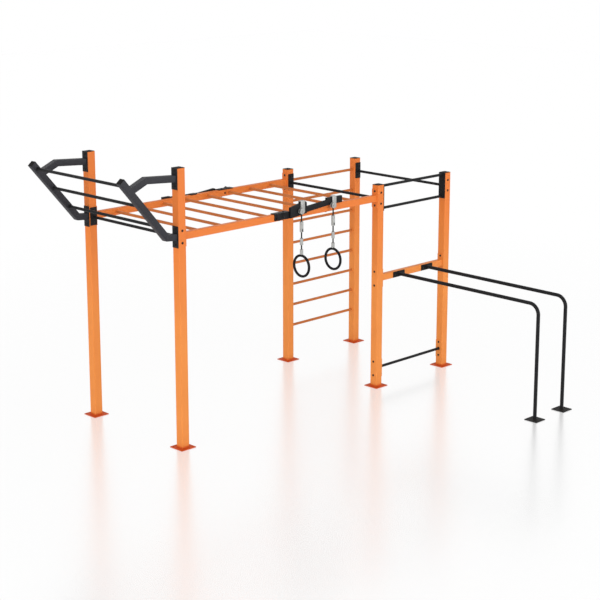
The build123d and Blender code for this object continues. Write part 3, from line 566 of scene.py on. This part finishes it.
dip_outline = round_outline(dip_diameter)
dip_welds = bmesh.new()
for side in ("left", "right"):
    eased(f"dip_plate_{side}", plate_edge_radius, black_coat)
    bar_low, bar_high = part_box(f"dip_bar_{side}")
    x = (bar_low.x + bar_high.x) / 2
    foot_half = (bar_high.x - bar_low.x) / 2
    weld_bead(dip_welds, Vector((x, bar_high.y, cross_level)), -along_y, dip_outline)
    weld_bead(dip_welds, Vector((x, bar_low.y + foot_half, base_thickness)), up, dip_outline)
finished("dip_bar_welds", dip_welds, black_coat)

# ---- Inclined grip ladder ----
# Two bent arms of square tube, coated charcoal, each welded to two plates that are bolted to a left post;
# over the plates the coat is nearly black. Three black rods are welded between the arms, and plugs close
# their upper ends.
charcoal = (0.027, 0.027, 0.033, 1)
charcoal_shaded = (0.021, 0.021, 0.026, 1)
arm_side = 0.07
arm_corner = 0.004
arm_top_drop = 0.116
colour_gap = 0.0005

# Past this place along X, over the plates, the coat is nearly black.
arm_plate_front = left_x - plate_face - colour_gap
charcoal_coat = powder_coat("charcoal_powder_coat", charcoal, charcoal_shaded, charcoal_shaded, gleam=0.2,
                            dust=0.05, plates=(arm_plate_front, coat_black_shaded))
coat_nodes(black_coat, "grip_rod_1", "grip_rod_2", "grip_rod_3")
coat_nodes(cap_plastic, "arm_plugs")

arm_top_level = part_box("post_left_front")[1].z - arm_top_drop
arm_outline = square_outline(arm_side, arm_side, arm_corner)
arm_welds = bmesh.new()
for arm, y in (("grip_arm_front", front_y), ("grip_arm_back", back_y)):
    eased(arm, arm_corner, charcoal_coat)
    for level in (ladder_level, arm_top_level):
        weld_bead(arm_welds, Vector((left_x - plate_face, y, level)), -along_x, arm_outline)
finished("arm_plate_welds", arm_welds, black_coat)

grip_welds = bmesh.new()
for rod in ("grip_rod_1", "grip_rod_2", "grip_rod_3"):
    rod_low, rod_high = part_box(rod)
    middle = (rod_low + rod_high) / 2
    weld_bead(grip_welds, Vector((middle.x, rod_low.y, middle.z)), along_y, bar_outline)
    weld_bead(grip_welds, Vector((middle.x, rod_high.y, middle.z)), -along_y, bar_outline)
finished("grip_rod_welds", grip_welds, black_coat)

# ---- Bolts and nuts of the end plates ----
# Blackened bolts with a washer, a low domed head and a hexagon socket, and on the far side of each post
# a washer, a chamfered nut and a short end of thread.
bolt_head_height = 0.008
nut_height = 0.010
thread_end = 0.005
bolt_dark = (0.014, 0.011, 0.010, 1)
bolt_rubbed = (0.09, 0.075, 0.065, 1)
rubbed_per_metre = 420
rubbed_share = 0.4
rubbed_gloss = 0.18
marks_per_metre = 2600
marks_depth = 0.0001
marks_strength = 0.3
steel_shine = 0.15
steel_gleam = 0.2
turned_sides = 24


def blackened_steel(name, colour, rubbed_colour, roughness):
    """Steel with a black oxide finish, turning marks and small rubbed spots."""
    finish, steel = new_finish(name)
    where = steel.node("TexCoord", None, None, "Object")
    rubbed = noise(steel, where, rubbed_per_metre, detail=5, roughness=0.65)
    rubbed = ramp(steel, rubbed, (0.52, 0), (0.70, 1))
    marks = noise(steel, where, marks_per_metre)
    colour = blended(steel, rubbed * rubbed_share, colour, rubbed_colour)
    bump_inputs = {"Strength": marks_strength, "Distance": marks_depth, "Height": marks}
    bump = steel.node("Bump", None, bump_inputs)
    gloss = roughness + rubbed_gloss * rubbed
    inputs = {"Base Color": colour, "Metallic": steel_shine, "Roughness": gloss, "Normal": bump,
              "Specular IOR Level": steel_gleam}
    steel.node("OutputMaterial", None, {"Surface": steel.node("BsdfPrincipled", None, inputs)})
    return finish


def separate_solids(node):
    """The lowest and highest corner of each separate solid in a node of the frame."""
    shape = joined_mesh(node)
    left = set(shape.verts)
    boxes = []
    while left:
        front = [left.pop()]
        points = []
        while front:
            point = front.pop()
            points.append(point.co.copy())
            near = [edge.other_vert(point) for edge in point.link_edges]
            fresh = [other for other in near if other in left]
            left.difference_update(fresh)
            front += fresh
        low = Vector([min(point[axis] for point in points) for axis in range(3)])
        high = Vector([max(point[axis] for point in points) for axis in range(3)])
        boxes.append((low, high))
    shape.free()
    return boxes


def turned(shape, seat, along, profile):
    """Adds a turned form. Its profile has the radius, the height and the share of a hexagon of each ring."""
    side, rise = across(along)
    rings = []
    for radius, height, hexagon in profile:
        ring = []
        for k in range(turned_sides):
            turn = 2 * pi * k / turned_sides
            flat = cos(pi / 6) / cos(turn % (pi / 3) - pi / 6)
            reach = radius * (1 - hexagon + hexagon * flat)
            place = side * reach * cos(turn) + rise * reach * sin(turn)
            ring.append(shape.verts.new(seat + along * height + place))
        rings.append(ring)
    close_rings(shape, rings, False)
    shape.faces.new(rings[0])
    shape.faces.new(rings[-1])


dome_profile = ((0.0139, 0, 0), (0.0139, 0.0019, 0), (0.0134, 0.0023, 0), (0.0112, 0.0023, 0),
                (0.0112, 0.0034, 0), (0.0104, 0.0056, 0), (0.0088, 0.0070, 0), (0.0068, 0.0078, 0),
                (0.0054, bolt_head_height, 0), (0.0047, 0.0078, 1), (0.0046, 0.0042, 1),
                (0.0010, 0.0038, 0))
nut_profile = ((0.0118, 0, 0), (0.0118, 0.0016, 0), (0.0114, 0.0019, 0), (0.0100, 0.0019, 0),
               (0.0109, 0.0026, 1), (0.0109, 0.0090, 1), (0.0096, nut_height, 0), (0.0062, nut_height, 0),
               (0.0060, 0.0104, 0), (0.0053, 0.0112, 0), (0.0060, 0.0120, 0), (0.0053, 0.0128, 0),
               (0.0060, 0.0136, 0), (0.0053, 0.0143, 0), (0.0046, nut_height + thread_end, 0),
               (0.0008, nut_height + thread_end, 0))
bolt_steel = blackened_steel("dark_bolt_steel", bolt_dark, bolt_rubbed, roughness=0.38)


def dressed_bolts(node):
    """Dresses a node's bolts with domed heads on their low ends and nuts with thread ends on the others."""
    heads = bmesh.new()
    nuts = bmesh.new()
    for low, high in separate_solids(node):
        reach = high - low
        along = along_x if reach.x > reach.y else along_y
        middle = (low + high) / 2
        half = max(reach.x, reach.y) / 2
        turned(heads, middle - along * (half - bolt_head_height), -along, dome_profile)
        turned(nuts, middle + along * (half - nut_height - thread_end), along, nut_profile)
    nut_node = node.replace("bolts", "nuts")
    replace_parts(finished("domed_" + node, heads, bolt_steel), node)
    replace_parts(finished("chamfered_" + nut_node, nuts, bolt_steel), nut_node)


dressed_bolts("through_bolts")
dressed_bolts("dip_plate_bolts")

# ---- Ring carriers ----
# On each side beam a black steel clamp sits over the beam, with a tall housing and a slanted arm in front
# of it. Hexagon bolts hold the clamp, and studs go down through the beam.
carrier_edge_radius = 0.0025
hex_head_height = 0.009

for part in ("clamp", "housing", "arm"):
    for side in ("front", "back"):
        eased(f"carrier_{part}_{side}", carrier_edge_radius, black_coat)

hex_profile = ((0.0108, 0, 1), (0.0109, 0.0074, 1), (0.0096, 0.0086, 0), (0.0090, hex_head_height, 0),
               (0.0010, hex_head_height, 0))
carrier_bolts = bmesh.new()
for low, high in separate_solids("carrier_bolts"):
    reach = high - low
    along = up if reach.z > reach.y else along_y
    middle = (low + high) / 2
    half = max(reach.y, reach.z) / 2
    turned(carrier_bolts, middle - along * (half - hex_head_height), -along, hex_profile)
    turned(carrier_bolts, middle + along * (half - hex_head_height), along, hex_profile)
hex_bolts = finished("carrier_hex_bolts", carrier_bolts, bolt_steel)
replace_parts(hex_bolts, "carrier_bolts")

# ---- Ring hangers ----
# Galvanised steel: a strap bent over the carrier with a boss and a pin, and below it rods, a forked sleeve
# and a swivel sleeve. The zinc shows its spangle, and the rods between the sleeves are dark steel.
zinc_pale = (0.41, 0.415, 0.40, 1)
zinc_dark = (0.27, 0.275, 0.27, 1)
zinc_bloom = (0.47, 0.47, 0.45, 1)
zinc_shine = 0.65
zinc_roughness = 0.40
spangles_per_metre = 190
spangle_gloss = 0.14
bloom_per_metre = 40
bloom_share = 0.4
bloom_gloss = 0.16
pits_per_metre = 600
pit_depth = 0.0002
pit_strength = 0.3
rod_dark = (0.006, 0.006, 0.006, 1)
rod_rubbed = (0.03, 0.03, 0.03, 1)
strap_edge_radius = 0.001


def galvanised(name):
    """Hot-dip zinc, dull, with spangles of a few millimetres and white bloom in patches."""
    finish, zinc = new_finish(name)
    where = zinc.node("TexCoord", None, None, "Object")
    spangle = zinc.node("TexVoronoi", None, {"Vector": where, "Scale": spangles_per_metre}, "Color")
    spangle = zinc.node("SeparateColor", None, {0: spangle}, "Red")
    bloom = noise(zinc, where, bloom_per_metre, detail=4, roughness=0.6)
    bloom = ramp(zinc, bloom, (0.40, 0), (0.65, 1))
    colour = blended(zinc, spangle, zinc_dark, zinc_pale)
    colour = blended(zinc, bloom * bloom_share, colour, zinc_bloom)
    pits = noise(zinc, where, pits_per_metre, detail=3)
    bump = zinc.node("Bump", None, {"Strength": pit_strength, "Distance": pit_depth, "Height": pits})
    gloss = zinc_roughness + spangle_gloss * spangle + bloom_gloss * bloom
    inputs = {"Base Color": colour, "Metallic": zinc_shine, "Roughness": gloss, "Normal": bump}
    zinc.node("OutputMaterial", None, {"Surface": zinc.node("BsdfPrincipled", None, inputs)})
    return finish


zinc_finish = galvanised("galvanised_steel")
rod_steel = blackened_steel("dark_rod_steel", rod_dark, rod_rubbed, roughness=0.34)
for side in ("left", "right"):
    eased(f"hanger_strap_{side}", strap_edge_radius, zinc_finish)
    for part in ("bearing_pin", "fork_sleeve", "fork_pin", "swivel_sleeve", "ring_clamp"):
        coat_nodes(zinc_finish, f"{part}_{side}")
    for part in ("upper_rod", "middle_rod", "lower_rod"):
        coat_nodes(rod_steel, f"{part}_{side}")
coat_nodes(zinc_finish, "strap_screws")

# ---- Rings ----
# Two thick hoops moulded in black plastic with a fine grip grain, each held by the galvanised clamp on the
# end of its lowest rod.
ring_black = (0.006, 0.006, 0.007, 1)

ring_plastic = moulded_plastic("ring_plastic", ring_black, roughness=0.40, grain_per_metre=1100,
                               grain_depth=0.0003)
coat_nodes(ring_plastic, "ring_left", "ring_right")
